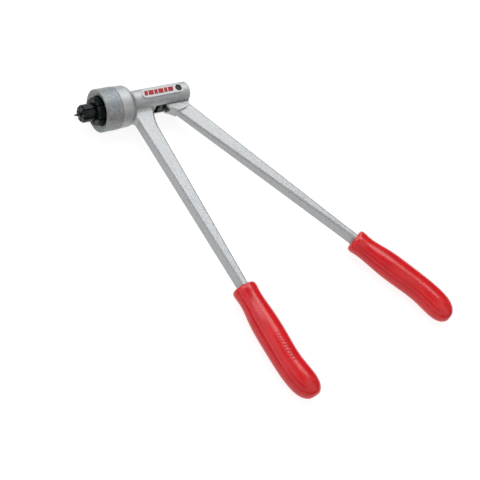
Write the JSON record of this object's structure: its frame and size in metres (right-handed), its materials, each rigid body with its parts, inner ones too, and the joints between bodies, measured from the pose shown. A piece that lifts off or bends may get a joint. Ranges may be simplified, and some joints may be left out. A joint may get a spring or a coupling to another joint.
{
  "type": "manual tube expander",
  "caption": "Lever-operated tube expander: closing the long handles pushes a cone forward, which spreads segmented steel jaws inside the end of a tube.",
  "frame": {"origin": "centre of the tube stop, where the tube's end meets the jaws' shoulder on the head's axis", "axes": "-X along the head's axis, out over the jaws, the way the tube comes off; +Z along the pivot pin; the handles swing in the XY plane and reach towards -Y"},
  "size_m": [0.3192, 0.3776, 0.045],
  "materials": {
    "cast_aluminium": "fine sand-cast aluminium, satin, with light tumbled edges",
    "turned_aluminium": "finely turned aluminium, slightly mottled",
    "red_vinyl": "glossy dipped red vinyl",
    "black_steel": "oiled black-oxide tool steel",
    "bright_steel": "bright ground steel",
    "bronze": "sintered bronze",
    "pad_face": "bright machined pad face",
    "red_mark": "red enamel infill"
  },
  "bodies": {
    "frame": {"body_casting": "cast_aluminium", "fixed_grip": "red_vinyl", "pivot_pin": "black_steel", "thrust_washer_top": "bronze", "thrust_washer_bottom": "bronze", "mandrel_guide_bush": "bronze", "return_spring": "bright_steel"},
    "lever": {"lever_casting": "cast_aluminium", "moving_grip": "red_vinyl", "hub_bush": "bronze", "cam_insert": "black_steel", "cam_insert_pin": "bright_steel"},
    "mandrel_set": {"mandrel": "black_steel", "mandrel_saddle": "black_steel", "saddle_pin": "bright_steel"},
    "head_core": {"jaw_thrust_ring": "bright_steel", "jaw_garter_spring": "bright_steel"},
    "ring_nut": {"ring_nut": "turned_aluminium"},
    "jaw_1": {"jaw_segment_1": "black_steel"},
    "jaw_2": {"jaw_segment_2": "black_steel"},
    "jaw_3": {"jaw_segment_3": "black_steel"},
    "jaw_4": {"jaw_segment_4": "black_steel"},
    "jaw_5": {"jaw_segment_5": "black_steel"},
    "jaw_6": {"jaw_segment_6": "black_steel"}
  },
  "joints": [
    {"name": "lever_pivot", "type": "hinge", "parent": "frame", "child": "lever", "pos_m": [0.0962, 0, 0], "axis": [0, 0, -1], "range_deg": [-30, 25]},
    {"name": "mandrel_slide", "type": "slide", "parent": "frame", "child": "mandrel_set", "axis": [-1, 0, 0], "range_m": [-0.0041, 0.0034], "deforming": ["return_spring"]},
    {"name": "head_advance", "type": "slide", "parent": "frame", "child": "head_core", "axis": [-1, 0, 0], "range_m": [0, 0.0076]},
    {"name": "nut_turn", "type": "hinge", "parent": "head_core", "child": "ring_nut", "pos_m": [0.015, 0, 0], "axis": [-1, 0, 0], "range_deg": [0, 1800]},
    {"name": "jaw_1_slide", "type": "slide", "parent": "head_core", "child": "jaw_1", "axis": [0, 0.991, 0.134], "range_m": [-0.00068, 0.00057], "deforming": ["jaw_garter_spring"]},
    {"name": "jaw_2_slide", "type": "slide", "parent": "head_core", "child": "jaw_2", "axis": [0, 0.3795, 0.9252], "range_m": [-0.00068, 0.00057]},
    {"name": "jaw_3_slide", "type": "slide", "parent": "head_core", "child": "jaw_3", "axis": [0, -0.6115, 0.7912], "range_m": [-0.00068, 0.00057]},
    {"name": "jaw_4_slide", "type": "slide", "parent": "head_core", "child": "jaw_4", "axis": [0, -0.991, -0.134], "range_m": [-0.00068, 0.00057]},
    {"name": "jaw_5_slide", "type": "slide", "parent": "head_core", "child": "jaw_5", "axis": [0, -0.3795, -0.9252], "range_m": [-0.00068, 0.00057]},
    {"name": "jaw_6_slide", "type": "slide", "parent": "head_core", "child": "jaw_6", "axis": [0, 0.6115, -0.7912], "range_m": [-0.00068, 0.00057]}
  ],
  "couplings": [
    {"joint": "mandrel_slide", "follows": "lever_pivot", "m_per_rad": 0.0077},
    {"joint": "jaw_1_slide", "follows": "lever_pivot", "m_per_rad": 0.0012628},
    {"joint": "jaw_2_slide", "follows": "lever_pivot", "m_per_rad": 0.0012628},
    {"joint": "jaw_3_slide", "follows": "lever_pivot", "m_per_rad": 0.0012628},
    {"joint": "jaw_4_slide", "follows": "lever_pivot", "m_per_rad": 0.0012628},
    {"joint": "jaw_5_slide", "follows": "lever_pivot", "m_per_rad": 0.0012628},
    {"joint": "jaw_6_slide", "follows": "lever_pivot", "m_per_rad": 0.0012628},
    {"joint": "head_advance", "follows": "nut_turn", "m_per_rad": 0.00023873}
  ]
}
